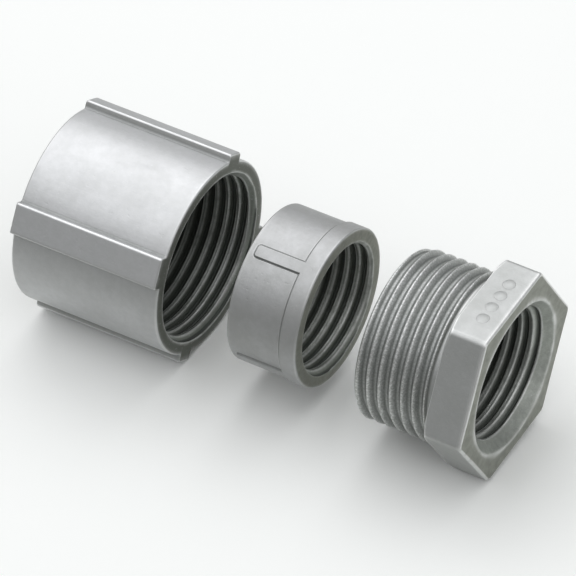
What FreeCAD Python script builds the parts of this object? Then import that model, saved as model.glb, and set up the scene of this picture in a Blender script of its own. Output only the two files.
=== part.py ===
import FreeCAD, Part
import math
import os

from FreeCAD import Vector

# Three-piece threaded conduit coupling, half-inch size, in millimetres.
# The common axis is X, from the sleeve on the left to the hex gland on the right. Z is up.
# The pieces are drawn apart, in the order in which they are put together.
# Z = 0 is the sleeve's lowest line, and X = 0 is the middle of the whole row.

# ---- common sizes
PITCH = 1.814          # 14 threads per inch, all threads right-handed
GAP_SLEEVE = 9.8       # clear space between the sleeve's mouth and the ring
GAP_GLAND = 9.75       # clear space between the ring and the gland's thread

# ---- conduit thread, inside the ring and the gland
PIPE_CREST_R = 9.65
PIPE_ROOT_R = 10.45
PIPE_CREST_FLAT = 0.68
PIPE_ROOT_FLAT = 0.28

# ---- coupling thread, outside on the gland and inside in the sleeve
GLAND_MAJOR_R = 12.95
GLAND_ROOT_R = 12.10
GLAND_CREST_FLAT = 0.30
GLAND_ROOT_FLAT = 0.50
SLEEVE_CREST_R = 12.25
SLEEVE_ROOT_R = 13.10
SLEEVE_CREST_FLAT = 0.48
SLEEVE_ROOT_FLAT = 0.32

# ---- sleeve: round shell with four flat-topped grip ribs, two narrow and two wide
SLEEVE_LENGTH = 24.15
SLEEVE_R = 14.8
SLEEVE_EDGE = 0.2
SLEEVE_MOUTH_R = 13.0
SLEEVE_THREAD_DEPTH = 14.0
LIP_THICKNESS = 2.5
LIP_HOLE_R = 11.0
LIP_EDGE = 0.4
RIB_WIDE = 4.7
RIB_NARROW = 3.0
RIB_TOP = 15.95
RIB_ROUND = 0.3
RIB_TURN = 28.3
RIBS = (
    (RIB_TURN, RIB_NARROW),
    (RIB_TURN + 90, RIB_WIDE),
    (RIB_TURN + 180, RIB_NARROW),
    (RIB_TURN + 270, RIB_WIDE),
)

# ---- ring: threaded collar with a proud front band and four narrow keys
RING_LENGTH = 11.35
RING_BAND_R = 12.1
RING_BODY_R = 11.83
RING_BAND_LENGTH = 2.7
RING_EDGE = 0.25
RING_MOUTH_R = 10.1
KEY_WIDTH = 1.85
KEY_START = 1.2
KEY_ANGLES = (63.0, 153.0, 243.0, 333.0)

# ---- gland: male thread, short neck, hex head
GLAND_THREAD_LENGTH = 11.55
GLAND_END_R = 12.4
NECK_LENGTH = 1.2
NECK_R = 12.5
HEX_THICKNESS = 6.05
HEX_CORNER_R = 15.95
HEX_TURN = -3.7
HEX_CORNER_ROUND = 1.0
HEX_FACE_ROUND = 0.4
HEX_BACK_R = 15.25
HEX_BACK_SLOPE = 0.6
GLAND_MOUTH_R = 11.4
GLAND_MOUTH_DEPTH = 1.9
GLAND_BACK_R = 10.75
MARK_HEIGHT = 0.16
MARK_R = 0.95
MARK_PLACES = (-3.75, -1.25, 1.25, 3.75)

# ---- places along the axis
TOTAL = (
    SLEEVE_LENGTH + GAP_SLEEVE + RING_LENGTH + GAP_GLAND
    + GLAND_THREAD_LENGTH + NECK_LENGTH + HEX_THICKNESS
)
SLEEVE_X = -TOTAL / 2
MOUTH_X = SLEEVE_X + SLEEVE_LENGTH
RING_X = MOUTH_X + GAP_SLEEVE
RING_END_X = RING_X + RING_LENGTH
GLAND_X = RING_END_X + GAP_GLAND
NECK_X = GLAND_X + GLAND_THREAD_LENGTH
HEX_X = NECK_X + NECK_LENGTH
HEX_END_X = HEX_X + HEX_THICKNESS

# travel of the sleeve until its lip seats on the ring, and of the gland until it meets the ring
SLEEVE_TRAVEL = RING_X - (SLEEVE_X + LIP_THICKNESS)
GLAND_TRAVEL = GAP_GLAND

# height of the axis: the sleeve stands on its shell, or on the corner of its lowest rib
RIB_CORNER = (
    (RIB_TOP - RIB_ROUND) * math.cos(math.radians(RIB_TURN))
    + (RIB_NARROW / 2 - RIB_ROUND) * math.sin(math.radians(RIB_TURN))
    + RIB_ROUND
)
AXIS_Z = max(SLEEVE_R, RIB_CORNER)

ALONG = Vector(1, 0, 0)


def rod(radius, x0, x1):
    """Round bar on the axis, from x0 to x1."""
    return Part.makeCylinder(radius, x1 - x0, Vector(x0, 0, 0), ALONG)


def taper(r0, r1, x0, x1):
    """Cone on the axis, of radius r0 at x0 and r1 at x1."""
    return Part.makeCone(r0, r1, x1 - x0, Vector(x0, 0, 0), ALONG)


def turned(shape, angle):
    """The shape turned about the axis, from +Z towards +Y."""
    copy = shape.copy()
    copy.rotate(Vector(0, 0, 0), ALONG, -angle)
    return copy


def helix_turn(radius, x0):
    """One right-handed turn about the X axis. It starts on the axis' lower side at x0."""
    edge = Part.makeHelix(PITCH, PITCH, radius).Edges[0]
    edge.rotate(Vector(0, 0, 0), Vector(0, 1, 0), 90)
    edge.translate(Vector(x0, 0, 0))
    return edge


def coil(r_wide, wide, r_narrow, narrow, x_centre, turns_before, turns_after):
    """Solid bar of trapezoid section wound on a helix: the cutter of one thread groove.

    x_centre is where the middle of the groove passes the axis' lower side.
    """
    turns = turns_before + turns_after
    start = x_centre - turns_before * PITCH
    corners = (
        (r_wide, -wide / 2),
        (r_wide, wide / 2),
        (r_narrow, narrow / 2),
        (r_narrow, -narrow / 2),
    )
    edges = [helix_turn(r, start + dx) for r, dx in corners]
    strips = [Part.makeRuledSurface(edges[i], edges[(i + 1) % 4]) for i in range(4)]
    faces = []
    for n in range(turns):
        for strip in strips:
            turn = strip.copy()
            turn.translate(Vector(n * PITCH, 0, 0))
            faces.extend(turn.Faces)
    for x_end in (start, start + turns * PITCH):
        points = [Vector(x_end + dx, 0, -r) for r, dx in corners]
        points.append(points[0])
        faces.append(Part.Face(Part.makePolygon(points)))
    shell = Part.Shell(faces)
    shell.sewShape()
    solid = Part.Solid(Part.Shell(shell.Faces))
    if solid.Volume < 0:
        solid.reverse()
    return solid


def inner_groove(crest_r, root_r, crest_flat, root_flat, x_centre, before, after):
    """Cutter of an internal thread: it is wide at the bore and narrow at the root."""
    mouth = PITCH - crest_flat
    slope = (mouth - root_flat) / (root_r - crest_r)
    spare = 0.3
    return coil(
        crest_r - spare, mouth + slope * spare, root_r, root_flat,
        x_centre, before, after,
    )


def outer_groove(crest_r, root_r, crest_flat, root_flat, x_centre, before, after):
    """Cutter of an external thread: it is wide outside and narrow at the root."""
    mouth = PITCH - crest_flat
    slope = (mouth - root_flat) / (crest_r - root_r)
    spare = 0.12
    return coil(
        crest_r + spare, mouth + slope * spare, root_r, root_flat,
        x_centre, before, after,
    )


def grip_rib(angle, width):
    """One full-length rib of the sleeve, with a flat top and rounded edges."""
    low = SLEEVE_R - 1.2
    rib = Part.makeBox(
        SLEEVE_LENGTH, width, RIB_TOP - low,
        Vector(SLEEVE_X, -width / 2, low),
    )
    top = [e for e in rib.Edges if e.BoundBox.ZMin > RIB_TOP - 0.01]
    return turned(rib.makeFillet(RIB_ROUND, top), angle)


def coupling_sleeve():
    """Outer nut: threaded at the mouth, with an inward lip at the far end."""
    body = rod(SLEEVE_R, SLEEVE_X, MOUTH_X)
    rims = [e for e in body.Edges if len(e.Vertexes) == 1]
    body = body.makeChamfer(SLEEVE_EDGE, rims)
    for angle, width in RIBS:
        body = body.fuse(grip_rib(angle, width))
    lip_x = SLEEVE_X + LIP_THICKNESS
    bore = rod(SLEEVE_CREST_R, lip_x, MOUTH_X + 1)
    hole = rod(LIP_HOLE_R, SLEEVE_X - 1, lip_x + 1)
    lead = taper(LIP_HOLE_R + LIP_EDGE, LIP_HOLE_R, SLEEVE_X, SLEEVE_X + LIP_EDGE)
    depth = SLEEVE_MOUTH_R - SLEEVE_CREST_R
    mouth = taper(SLEEVE_CREST_R, SLEEVE_MOUTH_R, MOUTH_X - depth, MOUTH_X)
    body = body.cut(bore.fuse([hole, lead, mouth])).removeSplitter()
    # in the seated pose the groove has to receive the gland's ridge
    phase = ridge_x() - GLAND_TRAVEL - SLEEVE_TRAVEL
    back = math.floor((phase - (MOUTH_X - SLEEVE_THREAD_DEPTH)) / PITCH)
    front = math.ceil((MOUTH_X - phase) / PITCH) + 1
    groove = inner_groove(
        SLEEVE_CREST_R, SLEEVE_ROOT_R, SLEEVE_CREST_FLAT, SLEEVE_ROOT_FLAT,
        phase, back, front,
    )
    return body.cut(groove)


def ring_key(angle):
    """One narrow key of the ring, flush with the band."""
    box = Part.makeBox(
        RING_LENGTH - KEY_START - RING_BAND_LENGTH / 2, KEY_WIDTH, 3,
        Vector(RING_X + KEY_START, -KEY_WIDTH / 2, RING_BODY_R - 1.5),
    )
    ends = [e for e in box.Edges if e.BoundBox.XMax < RING_X + KEY_START + 0.01]
    ends = [e for e in ends if e.BoundBox.ZLength > 1]
    box = box.makeFillet(0.4, ends)
    return turned(box, angle).common(rod(RING_BAND_R, RING_X, RING_END_X))


def threaded_ring():
    """Inner collar that screws on the first conduit."""
    body = rod(RING_BODY_R, RING_X, RING_END_X)
    back = [e for e in body.Edges if len(e.Vertexes) == 1 and e.BoundBox.XMax < RING_X + 1]
    body = body.makeChamfer(RING_EDGE, back)
    band = rod(RING_BAND_R, RING_END_X - RING_BAND_LENGTH, RING_END_X)
    front = [
        e for e in band.Edges
        if len(e.Vertexes) == 1 and e.BoundBox.XMin > RING_END_X - 0.1
    ]
    band = band.makeChamfer(RING_EDGE, front)
    body = body.fuse([band] + [ring_key(a) for a in KEY_ANGLES])
    depth = RING_MOUTH_R - PIPE_CREST_R
    bore = rod(PIPE_CREST_R, RING_X - 1, RING_END_X + 1)
    lead_back = taper(RING_MOUTH_R, PIPE_CREST_R, RING_X, RING_X + depth * 0.8)
    lead_front = taper(PIPE_CREST_R, RING_MOUTH_R, RING_END_X - depth * 0.8, RING_END_X)
    body = body.cut(bore.fuse([lead_back, lead_front])).removeSplitter()
    turns = math.ceil(RING_LENGTH / PITCH) + 1
    groove = inner_groove(
        PIPE_CREST_R, PIPE_ROOT_R, PIPE_CREST_FLAT, PIPE_ROOT_FLAT,
        RING_X + 0.4, 1, turns,
    )
    return body.cut(groove)


def ridge_x():
    """Where the middle of the gland's ridge passes the helix' starting side."""
    return GLAND_X + 0.9


def hex_head():
    """Six-sided head with rounded corners and a turned chamfer on its back corners."""
    points = []
    for i in range(7):
        a = math.radians(30 + 60 * i + HEX_TURN)
        points.append(Vector(HEX_X, HEX_CORNER_R * math.sin(a), HEX_CORNER_R * math.cos(a)))
    head = Part.Face(Part.makePolygon(points)).extrude(Vector(HEX_THICKNESS, 0, 0))
    corners = [e for e in head.Edges if e.BoundBox.XLength > HEX_THICKNESS / 2]
    head = head.makeFillet(HEX_CORNER_ROUND, corners)
    face = [e for e in head.Edges if e.BoundBox.XMin > HEX_END_X - 0.01]
    head = head.makeFillet(HEX_FACE_ROUND, face)
    reach = HEX_CORNER_R + 1 - HEX_BACK_R
    cone = taper(HEX_BACK_R, HEX_CORNER_R + 1, HEX_X, HEX_X + reach * HEX_BACK_SLOPE)
    full = rod(HEX_CORNER_R + 1, HEX_X + reach * HEX_BACK_SLOPE, HEX_END_X + 1)
    return head.common(cone.fuse(full))


def head_marks():
    """Row of plain raised dots on the upper flat, in place of lettering."""
    flat = HEX_CORNER_R * math.cos(math.radians(30))
    x_mid = HEX_X + HEX_THICKNESS * 0.52
    low = flat - 0.4
    tall = flat + MARK_HEIGHT - low
    dots = [Part.makeCylinder(MARK_R, tall, Vector(x_mid, y, low)) for y in MARK_PLACES]
    return [turned(dot, HEX_TURN) for dot in dots]


def hex_gland():
    """Male piece: outside it screws into the sleeve, inside it takes the second conduit."""
    body = rod(GLAND_MAJOR_R, GLAND_X, NECK_X)
    rise = GLAND_MAJOR_R - GLAND_END_R
    entry = taper(GLAND_END_R, GLAND_MAJOR_R, GLAND_X, GLAND_X + rise)
    body = body.common(entry.fuse(rod(GLAND_MAJOR_R, GLAND_X + rise, NECK_X)))
    turns = math.ceil(GLAND_THREAD_LENGTH / PITCH) + 1
    groove = outer_groove(
        GLAND_MAJOR_R, GLAND_ROOT_R, GLAND_CREST_FLAT, GLAND_ROOT_FLAT,
        ridge_x() - PITCH / 2, 2, turns,
    )
    body = body.cut(groove)
    body = body.fuse([rod(NECK_R, NECK_X - 0.02, HEX_X + 0.5), hex_head()] + head_marks())
    bore = rod(PIPE_CREST_R, GLAND_X - 1, HEX_END_X + 1)
    mouth = taper(PIPE_CREST_R, GLAND_MOUTH_R, HEX_END_X - GLAND_MOUTH_DEPTH, HEX_END_X)
    depth = GLAND_BACK_R - PIPE_CREST_R
    lead = taper(GLAND_BACK_R, PIPE_CREST_R, GLAND_X, GLAND_X + depth * 0.8)
    body = body.cut(bore.fuse([mouth, lead]))
    turns = math.ceil((HEX_END_X - GLAND_X) / PITCH) + 1
    groove = inner_groove(
        PIPE_CREST_R, PIPE_ROOT_R, PIPE_CREST_FLAT, PIPE_ROOT_FLAT,
        GLAND_X + 0.2, 1, turns,
    )
    return body.cut(groove)


def main():
    os.makedirs("parts", exist_ok=True)
    pieces = {
        "coupling_sleeve": coupling_sleeve,
        "threaded_ring": threaded_ring,
        "hex_gland": hex_gland,
    }
    for name, make in pieces.items():
        solid = make()
        solid = solid.Solids[0] if len(solid.Solids) == 1 else solid
        solid.translate(Vector(0, 0, AXIS_Z))
        solid.exportStep("parts/" + name + ".step")
        box = solid.optimalBoundingBox()
        print(
            name, "solids", len(solid.Solids), "faces", len(solid.Faces),
            "valid", solid.isValid(), "mm3", round(solid.Volume, 1),
            "x", round(box.XMin, 2), round(box.XMax, 2),
            "z", round(box.ZMin, 2), round(box.ZMax, 2),
        )
    print("axis height", AXIS_Z, "sleeve travel", SLEEVE_TRAVEL, "gland travel", GLAND_TRAVEL)


main()
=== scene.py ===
import math

import bmesh
import bpy
import numpy as np
from mathutils import Matrix, Vector


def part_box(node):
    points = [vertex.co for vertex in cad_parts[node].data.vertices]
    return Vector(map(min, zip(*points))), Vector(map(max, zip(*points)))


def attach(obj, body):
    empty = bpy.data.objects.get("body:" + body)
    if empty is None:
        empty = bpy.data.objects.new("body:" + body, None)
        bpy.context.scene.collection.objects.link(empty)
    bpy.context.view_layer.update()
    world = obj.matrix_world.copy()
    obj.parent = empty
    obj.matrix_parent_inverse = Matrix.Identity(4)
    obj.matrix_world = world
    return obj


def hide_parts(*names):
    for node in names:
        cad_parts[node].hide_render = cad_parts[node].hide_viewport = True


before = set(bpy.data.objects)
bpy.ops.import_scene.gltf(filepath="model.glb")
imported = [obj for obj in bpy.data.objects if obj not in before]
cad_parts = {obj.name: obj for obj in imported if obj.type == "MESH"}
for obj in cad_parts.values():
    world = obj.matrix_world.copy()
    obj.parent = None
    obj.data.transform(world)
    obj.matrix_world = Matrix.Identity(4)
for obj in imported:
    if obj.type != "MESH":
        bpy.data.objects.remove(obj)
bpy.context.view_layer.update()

# A three-piece threaded conduit union in die-cast zinc, drawn apart along X: sleeve, ring, hex gland.
# All lengths in the mesh code are in millimetres, and become metres when a mesh is made. An angle t
# is a turn round the axis, in radians from the lowest line.
MM = 0.001
TURN = 2 * math.pi

# ---- places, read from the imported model
SLEEVE_LOW, SLEEVE_HIGH = (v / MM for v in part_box("coupling_sleeve"))
RING_LOW, RING_HIGH = (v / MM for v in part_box("threaded_ring"))
GLAND_LOW, GLAND_HIGH = (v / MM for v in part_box("hex_gland"))
AXIS_Z = (RING_LOW.z + RING_HIGH.z) / 2
SLEEVE_X0, SLEEVE_X1 = SLEEVE_LOW.x, SLEEVE_HIGH.x
RING_X0, RING_X1 = RING_LOW.x, RING_HIGH.x
GLAND_X0, GLAND_X1 = GLAND_LOW.x, GLAND_HIGH.x

# ---- thread sizes, as in the CAD, but for the male crests, which are narrower here
PITCH = 1.814
PIPE = {"crest": 9.65, "root": 10.45, "crest_flat": 0.60, "root_flat": 0.28}
MALE = {"crest": 12.95, "root": 12.10, "crest_flat": 0.14, "root_flat": 0.60}
NUT = {"crest": 12.25, "root": 13.10, "crest_flat": 0.48, "root_flat": 0.32}
RIDGE_X = GLAND_X0 + 0.9                 # where a ridge of the male thread crosses the lowest line
GLAND_TRAVEL = 9.75
SLEEVE_TRAVEL = 31.45
MATED_SHIFT = GLAND_TRAVEL + SLEEVE_TRAVEL   # how much nearer sleeve and gland are when assembled


# =====================================================================
# mesh tools
# =====================================================================

WELD = 0.0015                            # mesh points nearer than this are one point
SHORTEST_RUN = 0.05                      # curvature is not read over less than this


def smooth_step(v):
    v = np.clip(v, 0, 1)
    return v * v * (3 - 2 * v)


def soft_min(a, b, width):
    """The smaller of a and b, with a rounded corner of about that width."""
    h = np.clip(0.5 + 0.5 * (b - a) / width, 0, 1)
    return b * (1 - h) + a * h - width * h * (1 - h)


def soft_max(a, b, width):
    return -soft_min(-a, -b, width)


def turn_from(t, middle):
    """Signed angle from middle to t, the short way round."""
    return (t - middle + math.pi) % TURN - math.pi


def thread_profile(phase, spec, rounding):
    """Radius over one pitch. phase 0 is the middle of the root, in millimetres along the axis."""
    depth = spec["crest"] - spec["root"]
    flank = (PITCH - spec["crest_flat"] - spec["root_flat"]) / 2
    total = 0
    weights = 0
    for offset in np.linspace(-1, 1, 7):
        d = np.abs((phase + offset * rounding + PITCH / 2) % PITCH - PITCH / 2)
        share = np.clip((d - spec["root_flat"] / 2) / flank, 0, 1)
        weight = 1 - 0.5 * abs(offset)
        total = total + share * weight
        weights += weight
    return spec["root"] + depth * total / weights


def helical_lines(t, x0, x1, per_pitch, reference):
    """Axial places of mesh lines that follow the right-handed helix, held between x0 and x1."""
    step = PITCH / per_pitch
    count = int(math.ceil((x1 - x0) / step)) + per_pitch + 2
    first = x0 - PITCH - step + ((reference - x0) % step)
    k = np.arange(count)[:, None]
    return np.clip(first + k * step + PITCH * t[None, :] / TURN, x0, x1)


def wave(x, t, r, seed, size, amount):
    """Slow unevenness of a casting's skin at radius r, the same each run."""
    y = r * np.sin(t)
    z = r * np.cos(t)
    rng = np.random.default_rng(seed)
    waves = 7
    total = 0
    for _ in range(waves):
        d = rng.normal(size=3)
        d /= np.linalg.norm(d)
        length = size * rng.uniform(0.6, 1.8)
        total = total + np.sin((x * d[0] + y * d[1] + z * d[2]) * TURN / length + rng.uniform(0, TURN))
    return amount * total / waves


class Loop:
    """A closed section, swept round the axis: rows of (x, r), one column per angle."""

    def __init__(self, t):
        self.t = np.asarray(t)
        self.x = []
        self.r = []

    def add(self, x, r):
        """One or more rows. A single column, or a single number, is the same all round."""
        columns = len(self.t)
        x = np.atleast_2d(np.asarray(x, float))
        r = np.atleast_2d(np.asarray(r, float))
        if x.shape[1] == 1 or r.shape[1] == 1:
            rows = max(x.shape[0], r.shape[0])
            x = np.broadcast_to(x, (rows, columns))
            r = np.broadcast_to(r, (rows, columns))
        self.x.append(x)
        self.r.append(r)

    def mesh(self, name):
        x = np.vstack(self.x)
        r = np.vstack(self.r)
        rows, columns = x.shape
        t = np.broadcast_to(self.t, x.shape)
        place = np.stack([x, r * np.sin(t), AXIS_Z - r * np.cos(t)], axis=-1).reshape(-1, 3)
        key = np.round(place / WELD).astype(np.int64)
        _, keep, index = np.unique(key, axis=0, return_index=True, return_inverse=True)
        a = index.reshape(rows, columns)
        b = np.roll(a, -1, axis=0)
        quads = np.stack([a[:, :-1], a[:, 1:], b[:, 1:], b[:, :-1]], axis=-1).reshape(-1, 4)
        faces = []
        seen = set()
        for quad in quads.tolist():
            corners = list(dict.fromkeys(quad))
            mark = tuple(sorted(corners))
            if len(corners) >= 3 and mark not in seen:
                seen.add(mark)
                faces.append(corners)
        mesh = bpy.data.meshes.new(name)
        mesh.from_pydata((place[keep] * MM).tolist(), [], faces)
        mesh.update()
        mesh.shade_smooth()
        bm = bmesh.new()
        bm.from_mesh(mesh)
        bmesh.ops.recalc_face_normals(bm, faces=bm.faces)
        bm.to_mesh(mesh)
        bm.free()
        return mesh


def column(values):
    return np.asarray(values, float)[:, None]


def quarter(n):
    """Angles over a quarter turn, both ends left out, as a column."""
    return column(np.linspace(0, math.pi / 2, n + 2)[1:-1])


def rim(pairs):
    """A rounded rim's rows: distance in from the face, and how far the skin has drawn back there."""
    along, back = zip(*pairs)
    return column(along), column(back)


def with_extra(base, extra):
    """Angles once round, with closer ones where a corner or an outline needs them."""
    angles = np.concatenate([base, np.asarray(extra) % TURN])
    angles = np.unique(np.round(angles, 6))
    angles = angles[(angles > 1e-4) & (angles < TURN - 1e-4)]
    return np.concatenate([[0.0], angles, [TURN]])


# =====================================================================
# what the material needs to know about each place
# =====================================================================

def read_vectors(vertices, name):
    values = np.zeros(len(vertices) * 3)
    vertices.foreach_get(name, values)
    return values.reshape(-1, 3)


def curvature(mesh, co, normal):
    """Largest and smallest normal curvature at each vertex, per millimetre, evened out a little."""
    n = len(co)
    ends = np.zeros(len(mesh.edges) * 2, np.int32)
    mesh.edges.foreach_get("vertices", ends)
    a, b = ends.reshape(-1, 2).T
    run = co[b] - co[a]
    length2 = np.maximum((run ** 2).sum(1), (SHORTEST_RUN * MM) ** 2)
    bend = (run * normal[a]).sum(1) / length2
    bend_back = (-run * normal[b]).sum(1) / length2
    # normal curvature along an edge is -2 * bend
    out = np.full(n, -1e9)
    low = np.full(n, 1e9)
    for index, value in ((a, -2 * bend), (b, -2 * bend_back)):
        np.maximum.at(out, index, value)
        np.minimum.at(low, index, value)
    most = 8
    out = np.clip(out * MM, -most, most)
    low = np.clip(low * MM, -most, most)
    for _ in range(2):
        for values in (out, low):
            total = values.copy()
            count = np.ones(n)
            np.add.at(total, a, values[b])
            np.add.at(total, b, values[a])
            np.add.at(count, a, 1)
            np.add.at(count, b, 1)
            values[:] = total / count
    return out, low


def skin_attributes(mesh, grainy_to, edge_share, crease_dirt_and_shade):
    """Writes five numbers on each vertex.

    edge and hollow: how far it stands out of, or lies below, its neighbours, for bright wear and painted
    highlight, and for dirt and painted shade.
    inward: whether it faces outwards, along the axis or inwards.
    grainy: on bores a little, and outside as far along the axis as grainy_to.
    deep: how far inside a bore, away from both ends, where the bore is painted darker as shade.
    """
    co = read_vectors(mesh.vertices, "co")
    normal = read_vectors(mesh.vertices, "normal")
    out, low = curvature(mesh, co, normal)
    # 0 on the outer skin, a half on the end faces, 1 on surfaces that look towards the axis
    side = co[:, 1:] - [0, AXIS_Z * MM]
    outward = (side * normal[:, 1:]).sum(1) / np.maximum(np.hypot(side[:, 0], side[:, 1]), 1e-9)
    inward = np.clip(0.5 - outward, 0, 1)
    in_bore = smooth_step(inward * 2 - 1)
    sandy_end = smooth_step((grainy_to * MM - co[:, 0]) / (0.3 * MM))
    from_mouth = (co[:, 0].max() - co[:, 0]) / MM
    from_back = (co[:, 0] - co[:, 0].min()) / MM
    deep = smooth_step((from_mouth - 2.0) / 9.0) * smooth_step(from_back / (0.4 * from_back.max()))
    # darkening along outlines, as dirt and as painted shade in the crease; it also keeps edges there from
    # brightening
    caught_dirt_and_shade = np.zeros(len(co))
    if crease_dirt_and_shade:
        x, y, z = (co / MM).T
        caught_dirt_and_shade = crease_dirt_and_shade(x, np.hypot(y, z - AXIS_Z), np.arctan2(y, AXIS_Z - z) % TURN)
    layers = {
        "grainy": np.maximum(sandy_end, 0.35 * in_bore),
        "deep": deep * in_bore,
        "edge": smooth_step((out - 0.35) / 2.2) * edge_share * (1 - caught_dirt_and_shade),
        "hollow": np.maximum(smooth_step((-low - 0.3) / 2.2), caught_dirt_and_shade * 1.3),
        "inward": smooth_step(inward),
    }
    for name, values in layers.items():
        layer = mesh.attributes.new(name, "FLOAT", "POINT")
        layer.data.foreach_set("value", values.astype(np.float32))


# =====================================================================
# sleeve
# =====================================================================

SLEEVE_R = 14.8
SLEEVE_RIM = (
    (0.0, 0.27), (0.015, 0.19), (0.05, 0.12), (0.11, 0.06), (0.19, 0.02), (0.28, 0.004), (0.38, 0.0),
)
RIB_TOP = 15.95
RIB_ROUND = 0.32
RIB_FOOT = 0.4
RIBS = ((61.7, 4.7), (151.7, 3.0), (241.7, 4.7), (331.7, 3.0))   # middle in degrees, width
LIP = 2.5
LIP_HOLE_R = 11.0
LIP_EDGE = ((0.4, 0.02), (0.28, 0.1), (0.1, 0.28), (0.02, 0.38), (0.0, 0.48))   # along, outwards
NUT_DEPTH = 14.0
NUT_MOUTH_R = 13.0


def rib_outline(width):
    """Half of a rib's section, from its middle to its foot, as (angle, radius)."""
    half = width / 2
    points = [(u, RIB_TOP) for u in np.linspace(0, half - RIB_ROUND, 9)]
    for q in np.linspace(0, math.pi / 2, 7)[1:]:
        points.append((
            half - RIB_ROUND + RIB_ROUND * math.sin(q),
            RIB_TOP - RIB_ROUND + RIB_ROUND * math.cos(q),
        ))
    foot = math.sqrt(SLEEVE_R ** 2 - (half + RIB_FOOT) ** 2)
    for q in np.linspace(0, math.pi / 2, 6):
        points.append((
            half + RIB_FOOT - RIB_FOOT * math.cos(q),
            foot + RIB_FOOT - RIB_FOOT * math.sin(q),
        ))
    return [(math.atan2(u, v), math.hypot(u, v)) for u, v in points]


def sleeve_section():
    """Angles and outer radii once round the sleeve, starting at its lowest line."""
    angles, radii = [], []
    for i, (middle, width) in enumerate(RIBS):
        m = math.radians(middle)
        half = rib_outline(width)
        next_foot = rib_outline(RIBS[(i + 1) % 4][1])[-1][0]
        for d, r in reversed(half[1:]):
            angles.append(m - d)
            radii.append(r)
        for d, r in half:
            angles.append(m + d)
            radii.append(r)
        gap = TURN / 4 - half[-1][0] - next_foot
        for s in np.linspace(0, 1, 58)[1:-1]:
            angles.append(m + half[-1][0] + gap * s)
            radii.append(SLEEVE_R)
    angles = np.array(angles) % TURN
    order = np.argsort(angles)
    angles, radii = angles[order], np.array(radii)[order]
    first = np.interp(0, angles, radii, period=TURN)
    angles = np.concatenate([[0], angles, [TURN]])
    radii = np.concatenate([[first], radii, [first]])
    return angles, radii


def make_sleeve():
    t, outer = sleeve_section()
    loop = Loop(t)
    tt = t[None, :]
    x0, x1 = SLEEVE_X0, SLEEVE_X1
    unevenness = 0.012

    def skin(x):
        return outer[None, :] + wave(x, tt, r=SLEEVE_R, seed=5, size=9.0, amount=unevenness) - unevenness

    along, back = rim(SLEEVE_RIM)
    loop.add(x0 + along, skin(x0 + along) - back)
    rows = column(np.linspace(x0 + 0.8, x1 - 0.8, 44))
    loop.add(rows, skin(rows))
    loop.add(x1 - along[::-1], skin(x1 - along[::-1]) - back[::-1])
    # mouth face
    face_edge = outer[None, :] - 0.29
    for share in (0.3, 0.6, 0.85, 1.0):
        loop.add(x1, face_edge * (1 - share) + (NUT_MOUTH_R + 0.17) * share)
    # thread, from the mouth inwards
    phase0 = RIDGE_X - MATED_SHIFT
    end = x1 - NUT_DEPTH
    x = helical_lines(t, end, x1, 16, phase0)[::-1]
    phase = x - PITCH * tt / TURN - phase0
    cut = thread_profile(phase, NUT, 0.09)
    run_out = smooth_step((x - end) / (1.2 * PITCH))
    cut = NUT["crest"] + (cut - NUT["crest"]) * run_out
    cut = soft_max(cut, NUT_MOUTH_R - (x1 - x), 0.10)
    loop.add(x, cut + wave(x, tt, r=12.5, seed=6, size=4.0, amount=0.02))
    # plain bore, lip and conduit hole
    lip_x = x0 + LIP
    bore_r = NUT["crest"]
    bore_rows = 12
    loop.add(column(np.linspace(end - 0.4, lip_x + 0.6, bore_rows)), np.full((bore_rows, len(t)), bore_r))
    q = quarter(3)
    loop.add(lip_x + 0.35 * (1 - np.sin(q)), bore_r - 0.35 * (1 - np.cos(q)))
    loop.add(column([lip_x, lip_x]), column([bore_r - 0.4, LIP_HOLE_R + 0.4]))
    loop.add(lip_x - 0.3 * (1 - np.cos(q)), LIP_HOLE_R + 0.3 * (1 - np.sin(q)))
    loop.add(column([lip_x - 0.35, x0 + 0.55]), column([LIP_HOLE_R, LIP_HOLE_R]))
    along, outwards = rim(LIP_EDGE)
    loop.add(x0 + along, LIP_HOLE_R + outwards)
    for share in (0.15, 0.5, 0.85):
        loop.add(x0, (LIP_HOLE_R + 0.5) * (1 - share) + face_edge * share)
    return loop.mesh("coupling_sleeve_cast")


# =====================================================================
# ring
# =====================================================================

RING_BAND_R = 12.1
RING_BODY_R = 11.83
RING_BAND = 2.7
RING_RIM = ((0.0, 0.24), (0.02, 0.16), (0.06, 0.085), (0.12, 0.03), (0.19, 0.006), (0.28, 0.0))
RING_MOUTH_R = 10.1
RING_LEAD_IN = 1.25                      # how fast the lead-in narrows
RING_RELIEF = 0.01                       # short at both ends, so seated faces don't coincide
KEY_WIDTH = 1.85
KEY_START = 1.2
KEY_ROUND = 0.4
KEY_TURNS = (27.0, 117.0, 207.0, 297.0)


def ring_step(x, t):
    """Distance over the skin to the edge of the band and keys, negative on them."""
    inside = np.full(np.broadcast(x, t).shape, -1e9)
    for middle in KEY_TURNS:
        side = np.abs(turn_from(t, math.radians(middle))) * 12.0 - (KEY_WIDTH / 2 - KEY_ROUND)
        tail = (RING_X0 + KEY_START + KEY_ROUND) - x
        corner = np.hypot(np.maximum(side, 0), np.maximum(tail, 0)) - KEY_ROUND
        corner = corner + np.minimum(np.maximum(side, tail), 0)
        inside = np.maximum(inside, -corner)
    band = x - (RING_X1 - RING_BAND)
    return -np.maximum(inside, band)


def ring_outside(x, t):
    """Radius of the ring's outside: body, proud front band, and the four keys that run into it."""
    distance = ring_step(x, t)
    step = smooth_step(0.5 - distance / 0.16)
    foot = np.exp(-((distance - 0.14) / 0.07) ** 2)
    return RING_BODY_R + (RING_BAND_R - RING_BODY_R) * step - 0.08 * foot


def ring_outline_dirt_and_shade(x, r, t):
    """How much the outline of the band and keys is darkened, as caught dirt and as painted shade in the
    crease.
    """
    return np.where(r > 11.5, np.exp(-((ring_step(x, t) - 0.03) / 0.12) ** 2), 0)


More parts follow.
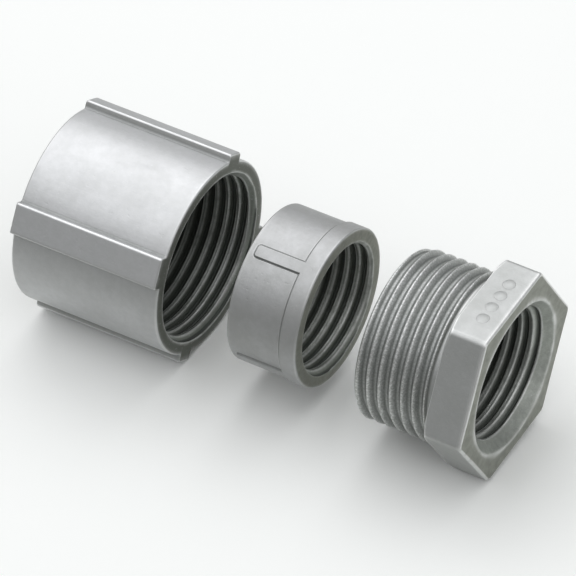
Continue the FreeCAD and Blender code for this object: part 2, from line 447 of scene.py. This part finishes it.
def make_ring():
    half = KEY_WIDTH / 24
    extra = []
    for middle in KEY_TURNS:
        for side in (-half, half):
            extra.extend(math.radians(middle) + side + np.radians(np.linspace(-1.6, 1.6, 15)))
    t = with_extra(np.linspace(0, TURN, 241), extra)
    loop = Loop(t)
    tt = t[None, :]
    x0, x1 = RING_X0 + RING_RELIEF, RING_X1 - RING_RELIEF
    unevenness = 0.008

    def skin(x):
        return ring_outside(x, tt) + wave(x, tt, r=12, seed=8, size=7.0, amount=unevenness) - unevenness

    along, back = rim(RING_RIM)
    loop.add(x0 + along, skin(x0 + along) - back)
    # close rows where the keys start and where the band starts
    rows = column(np.concatenate([
        np.linspace(x0 + 0.55, x0 + KEY_START - 0.36, 3),
        np.linspace(x0 + KEY_START - 0.28, x0 + KEY_START + 0.75, 24),
        np.linspace(x0 + KEY_START + 1.0, x1 - RING_BAND - 0.5, 14),
        np.linspace(x1 - RING_BAND - 0.34, x1 - RING_BAND + 0.2, 14),
        np.linspace(x1 - RING_BAND + 0.4, x1 - 0.4, 8),
    ]))
    loop.add(rows, skin(rows))
    loop.add(x1 - along[::-1], skin(x1 - along[::-1]) - back[::-1])
    phase0 = RING_X0 + 0.4

    def bore_rim(x_face):
        """Inner edge of an end face: the lead-in's circle, with a notch where the groove runs out."""
        groove = thread_profile(x_face - PITCH * tt / TURN - phase0, PIPE, 0.10)
        return soft_max(groove, np.full_like(groove, RING_MOUTH_R), 0.10) + 0.06

    for share in (0.0, 0.3, 0.6, 0.85, 1.0):
        loop.add(x1, 11.6 * (1 - share) + bore_rim(x1) * share)
    x = helical_lines(t, x0, x1, 16, phase0)[::-1]
    phase = x - PITCH * tt / TURN - phase0
    cut = thread_profile(phase, PIPE, 0.10)
    for from_face in (x1 - x, x - x0):
        cut = soft_max(cut, RING_MOUTH_R - from_face * RING_LEAD_IN, 0.10)
    loop.add(x, cut + wave(x, tt, r=10, seed=9, size=4.0, amount=0.015))
    for share in (1.0, 0.85, 0.6, 0.3, 0.05):
        loop.add(x0, 11.4 * (1 - share) + bore_rim(x0) * share)
    return loop.mesh("threaded_ring_cast")


# =====================================================================
# hex gland
# =====================================================================

MALE_LENGTH = 11.55
MALE_END_R = 12.4
NECK_R = 12.5
NECK_ROUND = 0.3
HEX_THICKNESS = 6.05
HEX_CORNER_R = 15.95
HEX_FLAT = HEX_CORNER_R * math.cos(math.pi / 6)
HEX_TURN = -3.7
HEX_CORNER_ROUND = 1.0
HEX_FACE_ROUND = 0.42
HEX_BACK_R = 15.25
HEX_BACK_SLOPE = 0.6
HEX_MOUTH_R = 11.4
HEX_MOUTH_DEPTH = 1.9
# rows along the head, from its back, closer where its corners are bevelled
HEX_ROWS = (
    0.02, 0.06, 0.13, 0.22, 0.33, 0.46, 0.6, 0.75, 0.9, 1.05, 1.2, 1.4, 1.7, 2.2, 3.0, 3.9, 4.8, 5.3,
)
GLAND_BACK_R = 10.75
PARTING_LINES = (285.0, 105.0)           # where the mould halves met across the male thread


def hex_radius(t):
    """Radius of a six-sided bar with rounded corners."""
    middle = math.radians(180 - HEX_TURN)
    d = (t - middle + math.pi / 6) % (math.pi / 3) - math.pi / 6
    flat = HEX_FLAT / np.cos(d)
    e = math.pi / 6 - np.abs(d)
    c = HEX_CORNER_R - HEX_CORNER_ROUND / math.cos(math.pi / 6)
    corner = c * np.cos(e) + np.sqrt(np.maximum(HEX_CORNER_ROUND ** 2 - (c * np.sin(e)) ** 2, 0))
    tangent = math.pi / 6 - math.atan2(c * math.sin(math.pi / 6), HEX_FLAT)
    return np.where(e < tangent, corner, flat)


def male_thread(x, tt):
    """Radius of the male thread: tapered start, uneven crests and small gaps at the parting lines."""
    phase = x - PITCH * tt / TURN - (RIDGE_X - PITCH / 2)
    ridge = thread_profile(phase, MALE, 0.055)
    height = MALE["crest"] - MALE["root"]
    for line in PARTING_LINES:
        gap = np.exp(-(turn_from(tt, math.radians(line)) / math.radians(1.1)) ** 2)
        ridge = ridge - 0.28 * gap * np.clip((ridge - MALE["root"]) / height, 0, 1)
    torn = 0.5 + 0.5 * wave(x, tt, r=12.5, seed=21, size=1.1, amount=1.0)
    ridge = ridge - 0.09 * np.clip(torn, 0, 1) * np.clip((ridge - MALE["root"]) / height, 0, 1) ** 3
    return soft_min(ridge, MALE_END_R + (x - GLAND_X0), 0.12)


def make_gland():
    extra = []
    for i in range(6):
        extra.extend(math.radians(210 - HEX_TURN + 60 * i) + np.radians(np.linspace(-2.6, 2.6, 15)))
    for line in PARTING_LINES:
        extra.extend(math.radians(line) + np.radians(np.linspace(-3, 3, 9)))
    t = with_extra(np.linspace(0, TURN, 241), extra)
    loop = Loop(t)
    tt = t[None, :]
    x0, x1 = GLAND_X0, GLAND_X1
    neck_x = x0 + MALE_LENGTH
    hex_x = x1 - HEX_THICKNESS
    unevenness = 0.015

    def hex_skin(x):
        return wave(x, tt, r=14, seed=13, size=8.0, amount=unevenness) - unevenness

    # male thread and neck
    x = helical_lines(t, x0, hex_x - NECK_ROUND, 16, RIDGE_X - PITCH / 2)
    to_neck = smooth_step((x - (neck_x - 0.35)) / 0.5)
    ridge = male_thread(x, tt) * (1 - to_neck) + NECK_R * to_neck
    loop.add(x, ridge + wave(x, tt, r=12.5, seed=12, size=5.0, amount=0.02) - 0.02)
    q = quarter(4)
    loop.add(hex_x - NECK_ROUND * (1 - np.sin(q)), NECK_R + NECK_ROUND * (1 - np.cos(q)))
    # back of the head
    body = hex_radius(t)[None, :]
    back = soft_min(body, np.full_like(body, HEX_BACK_R), 0.5) - 0.3
    foot = np.full((1, len(t)), NECK_R + 0.34)
    loop.add(column([hex_x]), foot)
    loop.add(column([hex_x]), 0.5 * foot + 0.5 * back)
    loop.add(column([hex_x]), back)
    # its six flats, bevelled towards the back
    rise = column(HEX_ROWS)
    bevel = HEX_BACK_R + rise / HEX_BACK_SLOPE - 0.30 * np.exp(-rise / 0.10)
    loop.add(hex_x + rise, soft_min(body + hex_skin(hex_x + rise), bevel, 0.3))
    q = column(np.linspace(0, math.pi / 2, 9))
    start = body + hex_skin(x1 - HEX_FACE_ROUND)
    loop.add(x1 - HEX_FACE_ROUND * (1 - np.sin(q)), start - HEX_FACE_ROUND * (1 - np.cos(q)))
    # front face
    face_inner = np.full((1, len(t)), HEX_MOUTH_R + 0.16)
    face_outer = start - HEX_FACE_ROUND - 0.06
    for share in (0.0, 0.25, 0.5, 0.75, 1.0):
        loop.add(column([x1]), face_outer * (1 - share) + face_inner * share)
    # female thread, with its wide lead-in at the front face
    phase0 = x0 + 0.2
    x = helical_lines(t, x0, x1 - 0.05, 12, phase0)[::-1]
    phase = x - PITCH * tt / TURN - phase0
    cut = thread_profile(phase, PIPE, 0.10)
    slope = (HEX_MOUTH_R - PIPE["crest"]) / HEX_MOUTH_DEPTH
    cut = soft_max(cut, HEX_MOUTH_R + 0.06 - (x1 - x) * slope, 0.12)
    cut = soft_max(cut, GLAND_BACK_R - (x - x0) / 0.8, 0.10)
    loop.add(x, cut + wave(x, tt, r=10, seed=14, size=4.0, amount=0.015))
    for r in (GLAND_BACK_R + 0.15, 11.4, 11.8):
        loop.add(x0, np.full((1, len(t)), r))
    return loop.mesh("hex_gland_cast")


MARK_R = 0.93
MARK_HEIGHT = 0.149
MARK_ROOT = 0.35                         # how far a mark reaches into the head
MARK_PLACES = (-3.75, -1.25, 1.25, 3.75)


def make_marks():
    """Row of plain raised dots on the head's upper flat, in place of lettering."""
    x_mid = GLAND_X1 - HEX_THICKNESS * 0.48
    turn = Matrix.Rotation(math.radians(-HEX_TURN), 4, "X")
    levels = [(MARK_R, -MARK_ROOT)]
    for radius in (MARK_R, 0.86, 0.77, 0.67, 0.55, 0.41, 0.26, 0.10):
        levels.append((radius, MARK_HEIGHT * (1 - (radius / MARK_R) ** 2)))
    sides = 48
    rng = np.random.default_rng(31)
    bm = bmesh.new()
    for y in MARK_PLACES:
        uneven = rng.uniform(0, TURN)
        rings = []
        for radius, height in levels:
            ring = []
            for i in range(sides):
                q = TURN * i / sides
                r = radius * (1 + 0.012 * math.sin(3 * q + uneven))
                place = turn @ Vector((x_mid + r * math.cos(q), y + r * math.sin(q), HEX_FLAT + height))
                place.z += AXIS_Z
                ring.append(bm.verts.new(place * MM))
            rings.append(ring)
        for low, high in zip(rings, rings[1:]):
            for i in range(sides):
                j = (i + 1) % sides
                bm.faces.new((low[i], low[j], high[j], high[i]))
        bm.faces.new(rings[-1])
        bm.faces.new(rings[0][::-1])
    bmesh.ops.recalc_face_normals(bm, faces=bm.faces)
    mesh = bpy.data.meshes.new("hex_marks_cast")
    bm.to_mesh(mesh)
    bm.free()
    mesh.shade_smooth()
    return mesh


# =====================================================================
# node tools
# =====================================================================

class Nodes:
    """Short ways to add nodes to the tree of a material or of the world."""

    def __init__(self, tree):
        self.tree = tree

    def add(self, kind, **values):
        """A new node. Each value goes to the input, or else to the setting, of that name."""
        node = self.tree.nodes.new(kind)
        for key, value in values.items():
            if key in node.inputs:
                node.inputs[key].default_value = value
            else:
                setattr(node, key, value)
        return node

    def put(self, value, socket):
        """Links a socket, or sets a number or a colour."""
        if isinstance(value, bpy.types.NodeSocket):
            self.tree.links.new(value, socket)
        elif isinstance(value, tuple):
            socket.default_value = (*value, 1)
        else:
            socket.default_value = value

    def combine(self, operation, a, b):
        node = self.add("ShaderNodeMath", operation=operation)
        self.put(a, node.inputs[0])
        self.put(b, node.inputs[1])
        return node.outputs[0]

    def times(self, a, b):
        return self.combine("MULTIPLY", a, b)

    def total(self, *values):
        result = values[0]
        for value in values[1:]:
            result = self.combine("ADD", result, value)
        return result

    def less(self, a, b):
        return self.combine("SUBTRACT", a, b)

    def ramp(self, value, low, high, floor=0.0, top=1.0, curve="SMOOTHSTEP"):
        """Goes from floor to top as the value goes from low to high."""
        node = self.add("ShaderNodeMapRange", interpolation_type=curve)
        for name, number in (("From Min", low), ("From Max", high), ("To Min", floor), ("To Max", top)):
            node.inputs[name].default_value = number
        self.put(value, node.inputs["Value"])
        return node.outputs["Result"]

    def blend(self, share, a, b):
        """Colour a, or b where the share is 1."""
        node = self.add("ShaderNodeMix", data_type="RGBA")
        self.put(share, node.inputs[0])
        self.put(a, node.inputs[6])
        self.put(b, node.inputs[7])
        return node.outputs[2]

    def place(self, kind):
        """X, Y and Z of a texture coordinate."""
        split = self.add("ShaderNodeSeparateXYZ")
        self.put(self.add("ShaderNodeTexCoord").outputs[kind], split.inputs[0])
        return split.outputs


# =====================================================================
# die-cast zinc
# =====================================================================

# painted shade deep inside the bores
DEEP_BORE_SHADE = (0.055, 0.062, 0.052)
# dull tone for hollows and creases: dirt, and also painted shade where shade falls
HOLLOW_SHADE_AND_DIRT = (0.11, 0.12, 0.11)
DULL_STAIN = (0.14, 0.155, 0.13)
PIT_TONE = (0.20, 0.215, 0.20)
# bright metal on edges and thread crests: wear, and also a painted highlight
BRIGHT_WEAR_AND_HIGHLIGHT = (0.88, 0.88, 0.885)


def cast_zinc(
    name, seed, light, dark, face_dull_shade_tone, bore_dull_shade_tone, rough, lines, line_scale, grain, relief, wear_and_highlight, grime_and_shade,
):
    """Satin die-cast zinc: clouded grey skin, fine grain, tool marks, edges brightened by wear and as
    painted highlight, hollows darkened by dirt and as painted shade, end faces and bores painted darker
    as shade.

    light, dark: the two tones of the outer skin.
    face and bore tones: darker tones of the end faces and of the bores, partly a duller finish, mostly
    painted shade.
    lines, line_scale: height and direction of the tool marks.
    grain: height of the fine grain.
    relief: depth of all the relief, in metres.
    The last two: how much edges are brightened, by wear and as painted highlight, and how much hollows
    are darkened, by dirt and as painted shade.
    """
    material = bpy.data.materials.new(name)
    material.use_nodes = True
    nodes = Nodes(material.node_tree)
    add, put, times, total, less, ramp, blend = (
        nodes.add, nodes.put, nodes.times, nodes.total, nodes.less, nodes.ramp, nodes.blend,
    )
    shader = material.node_tree.nodes["Principled BSDF"]
    shader.inputs["Metallic"].default_value = 0.9
    shader.inputs["IOR"].default_value = 1.5
    place = add("ShaderNodeTexCoord").outputs["Object"]

    def noise(scale, detail, roughness, stretch=(1, 1, 1), shift=0.0):
        mapping = add("ShaderNodeMapping", Scale=stretch, Location=(seed + shift, seed * 0.7, shift))
        put(place, mapping.inputs["Vector"])
        node = add("ShaderNodeTexNoise", Scale=scale, Detail=detail, Roughness=roughness)
        put(mapping.outputs["Vector"], node.inputs["Vector"])
        return node.outputs["Fac"]

    def attribute(name):
        return add("ShaderNodeAttribute", attribute_name=name).outputs["Fac"]

    edge = attribute("edge")
    inward = attribute("inward")
    grainy = attribute("grainy")
    deep = attribute("deep")
    face = ramp(inward, 0.05, 0.45)
    bore = ramp(inward, 0.55, 0.95)
    # hollows on the outer skin are darkened less than those in the bores, which take most of the dirt and
    # painted shade
    hollow = times(attribute("hollow"), ramp(inward, 0.1, 0.8, 0.45, 1.0))

    clouds = ramp(noise(110, 4, 0.55), 0.35, 0.66)
    mottle = noise(900, 3, 0.6, shift=3.1)
    specks = ramp(noise(2600, 2, 0.5, shift=7.7), 0.62, 0.74)
    scuffs = ramp(noise(260, 5, 0.7, stretch=(1, 3.2, 0.6), shift=5.3), 0.55, 0.72)
    worn_edge_and_highlight = times(edge, ramp(noise(480, 3, 0.6, shift=9.2), 0.25, 0.55, 0.45, 1.0))
    pits = times(ramp(noise(3600, 2, 0.6, shift=2.6), 0.42, 0.62, 1.0, 0.0), grainy)

    # colour: outer skin, then faces and bores painted darker as shade, then hollows darkened by dirt and
    # painted shade, edges brightened by wear and painted highlight, pits, and painted shade deep in the
    # bores
    stained = ramp(mottle, 0.3, 0.7, 0.0, 0.3)
    stain = tuple(tone * share for tone, share in zip(dark, (0.86, 0.87, 0.86)))
    speck = tuple(tone * share for tone, share in zip(light, (1.12, 1.12, 1.13)))
    colour = blend(stained, blend(clouds, dark, light), stain)
    # end faces and bores painted darker than the skin: partly a duller finish, mostly painted shade
    dull_shaded_colour = blend(stained, blend(bore, face_dull_shade_tone, bore_dull_shade_tone), DULL_STAIN)
    colour = blend(times(face, 0.85), colour, dull_shaded_colour)
    colour = blend(times(specks, 0.25), colour, speck)
    # hollows darkened: partly dirt, partly painted shade
    colour = blend(times(hollow, grime_and_shade), colour, HOLLOW_SHADE_AND_DIRT)
    # edges and crests brightened: partly wear, partly painted highlight
    colour = blend(times(worn_edge_and_highlight, ramp(bore, 0, 1, wear_and_highlight, 0.6)), colour, BRIGHT_WEAR_AND_HIGHLIGHT)
    colour = blend(times(pits, 0.38), colour, PIT_TONE)
    # bores painted darker with depth, as shade
    colour = blend(times(deep, 0.85), colour, DEEP_BORE_SHADE)
    put(colour, shader.inputs["Base Color"])

    # gloss: duller in hollows and on faces, smoother on worn edges and just inside the bores
    gloss = total(
        ramp(clouds, 0, 1, rough + 0.02, rough - 0.02),
        times(mottle, 0.08), times(scuffs, 0.06), times(hollow, 0.12), times(face, 0.10),
    )
    gloss = less(gloss, times(worn_edge_and_highlight, 0.12))
    gloss = less(gloss, times(bore, ramp(deep, 0.0, 0.6, 0.13, 0.0)))
    put(gloss, shader.inputs["Roughness"])

    # relief: tool marks, turned lines in the bores, grain, sand, slow dents, and pinholes
    marks = times(noise(1, 3, 0.55, stretch=line_scale, shift=2.2), lines)
    turned = times(noise(1, 3, 0.6, stretch=(2600, 60, 60), shift=3.7), times(bore, 1.6))
    fine = times(noise(2300, 3, 0.6, shift=1.3), grain)
    sandy = times(noise(4200, 2, 0.6, shift=6.1), times(grainy, 3.0))
    dents = times(noise(620, 3, 0.5, shift=4.4), 0.5)
    pinholes = times(ramp(noise(1500, 1, 0.4, shift=8.8), 0.70, 0.78), 0.6)
    height = less(total(marks, turned, fine, sandy, dents), pinholes)
    bump = add("ShaderNodeBump", Strength=1.0, Distance=relief)
    put(height, bump.inputs["Height"])
    put(bump.outputs["Normal"], shader.inputs["Normal"])
    return material


# each piece's face and bore tones are mostly painted shade; its edge brightening is wear and painted
# highlight, its hollow darkening dirt and painted shade
SLEEVE_ZINC = cast_zinc(
    "zinc_sleeve", seed=1.7,
    light=(0.70, 0.70, 0.72), dark=(0.66, 0.66, 0.675),
    face_dull_shade_tone=(0.11, 0.117, 0.092), bore_dull_shade_tone=(0.20, 0.22, 0.19),
    rough=0.45, lines=0.5, line_scale=(55, 1500, 1500), grain=0.8, relief=0.000018,
    wear_and_highlight=0.3, grime_and_shade=1.3,
)
RING_ZINC = cast_zinc(
    "zinc_ring", seed=4.1,
    light=(0.56, 0.56, 0.575), dark=(0.50, 0.50, 0.505),
    face_dull_shade_tone=(0.335, 0.34, 0.295), bore_dull_shade_tone=(0.25, 0.27, 0.235),
    rough=0.50, lines=1.5, line_scale=(3200, 40, 40), grain=0.9, relief=0.000024,
    wear_and_highlight=0.2, grime_and_shade=1.0,
)
GLAND_ZINC = cast_zinc(
    "zinc_gland", seed=8.3,
    light=(0.58, 0.585, 0.59), dark=(0.525, 0.53, 0.53),
    face_dull_shade_tone=(0.38, 0.385, 0.345), bore_dull_shade_tone=(0.42, 0.44, 0.41),
    rough=0.46, lines=0.6, line_scale=(900, 500, 500), grain=1.2, relief=0.000020,
    wear_and_highlight=1.0, grime_and_shade=1.2,
)


# =====================================================================
# pieces
# =====================================================================

NO_SAND = -1000.0                        # an axial place that no piece reaches


def place_piece(name, mesh, material, body, node=None, grainy_to=NO_SAND, edge_share=1.0, crease_dirt_and_shade=None):
    piece = bpy.data.objects.new(name, mesh)
    bpy.context.scene.collection.objects.link(piece)
    skin_attributes(mesh, grainy_to, edge_share, crease_dirt_and_shade)
    mesh.materials.append(material)
    weights = piece.modifiers.new("even_normals", "WEIGHTED_NORMAL")
    weights.mode = "FACE_AREA"
    weights.keep_sharp = False
    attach(piece, body)
    if node:
        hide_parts(node)


place_piece(
    "coupling_sleeve_cast", make_sleeve(), SLEEVE_ZINC, "sleeve",
    node="coupling_sleeve",
)
place_piece(
    "threaded_ring_cast", make_ring(), RING_ZINC, "ring",
    node="threaded_ring", crease_dirt_and_shade=ring_outline_dirt_and_shade,
)
place_piece(
    "hex_gland_cast", make_gland(), GLAND_ZINC, "gland",
    node="hex_gland", grainy_to=GLAND_X0 + MALE_LENGTH,
)
place_piece(
    "hex_gland_marks", make_marks(), GLAND_ZINC, "gland",
    edge_share=0.25,
)


# =====================================================================
# floor, light and camera, in metres
# =====================================================================

FLOOR_SIZE = 3.2
FLOOR_Z = -0.0001
FLOOR_SEEN = (1.0, 1.0, 1.0)
FLOOR_BELOW = (0.76, 0.77, 0.75)
FLOOR_AHEAD = (0.30, 0.305, 0.29)
LIGHT_AIM = Vector((0, 0, 0.015))
LIGHT_DISTANCE = 0.75
DOME_TINT = (0.98, 1.0, 0.99)

VIEW_AZIMUTH = 30.4
VIEW_ELEVATION = 42.0
VIEW_DISTANCE = 0.852
VIEW_LENS = 375.2
VIEW_SENSOR = 36.0
VIEW_ALONG = -0.00014                    # aim, from the middle of the row: along the axis
VIEW_ASIDE = 0.00025                     # and to the right in the picture


def direction(azimuth, elevation):
    """Unit vector from the object. Azimuth 0 is along -Y, and grows towards +X."""
    az, el = math.radians(azimuth), math.radians(elevation)
    return Vector((math.sin(az) * math.cos(el), -math.cos(az) * math.cos(el), math.sin(el)))


def aim_from(name, data, target, way, distance):
    """Puts a light or a camera at that distance, looking at the target."""
    obj = bpy.data.objects.new(name, data)
    obj.location = target + way * distance
    obj.rotation_euler = way.to_track_quat("Z", "Y").to_euler()
    bpy.context.scene.collection.objects.link(obj)
    return obj


def make_floor():
    half = FLOOR_SIZE / 2
    mesh = bpy.data.meshes.new("floor")
    mesh.from_pydata(
        [(-half, -half, 0), (half, -half, 0), (half, half, 0), (-half, half, 0)], [], [(0, 1, 2, 3)]
    )
    floor = bpy.data.objects.new("floor", mesh)
    floor.location.z = FLOOR_Z
    bpy.context.scene.collection.objects.link(floor)
    material = bpy.data.materials.new("pale_floor")
    material.use_nodes = True
    shader = material.node_tree.nodes["Principled BSDF"]
    shader.inputs["Roughness"].default_value = 0.9
    # the floor is seen white, but throws less light back onto the metal, least of all in front
    nodes = Nodes(material.node_tree)
    behind = nodes.ramp(nodes.place("Object")["Y"], -0.050, -0.012)
    returned = nodes.blend(behind, FLOOR_AHEAD, FLOOR_BELOW)
    seen = nodes.add("ShaderNodeLightPath").outputs["Is Camera Ray"]
    nodes.put(nodes.blend(seen, returned, FLOOR_SEEN), shader.inputs["Base Color"])
    mesh.materials.append(material)


def soft_box(name, azimuth, elevation, width, height, power, colour=(1, 1, 1)):
    """A soft box aimed at the object."""
    light = bpy.data.lights.new(name, "AREA")
    light.shape = "RECTANGLE"
    light.size = width
    light.size_y = height
    light.energy = power
    light.color = colour
    aim_from(name, light, LIGHT_AIM, direction(azimuth, elevation), LIGHT_DISTANCE)


def studio_dome():
    """Soft light from all round: bright overhead, dim near the floor and towards the hex end."""
    world = bpy.data.worlds.new("studio")
    world.use_nodes = True
    nodes = Nodes(world.node_tree)
    way = nodes.place("Generated")
    rise = nodes.ramp(way["Z"], 0.05, 1, 0.15, 1.15)
    along = nodes.ramp(way["X"], -1, 1, 1.15, 0.75, curve="LINEAR")
    back = world.node_tree.nodes["Background"]
    nodes.put(DOME_TINT, back.inputs["Color"])
    nodes.put(nodes.times(rise, along), back.inputs["Strength"])
    bpy.context.scene.world = world


def make_camera():
    toward = direction(VIEW_AZIMUTH, VIEW_ELEVATION)
    az = math.radians(VIEW_AZIMUTH)
    right = Vector((math.cos(az), math.sin(az), 0))
    target = Vector((VIEW_ALONG, 0, AXIS_Z * MM)) + right * VIEW_ASIDE
    data = bpy.data.cameras.new("camera")
    data.lens = VIEW_LENS
    data.sensor_width = VIEW_SENSOR
    data.clip_start = 0.01
    bpy.context.scene.camera = aim_from("camera", data, target, toward, VIEW_DISTANCE)


make_floor()
soft_box("key_box", -56, 63, 0.85, 0.7, 0.56, (0.98, 0.985, 1.0))
soft_box("right_box", 76, 18, 0.3, 0.26, 0.36)
soft_box("rear_box", -145, 54, 0.7, 0.4, 0.85)
studio_dome()
make_camera()
bpy.context.scene.view_settings.view_transform = "Standard"
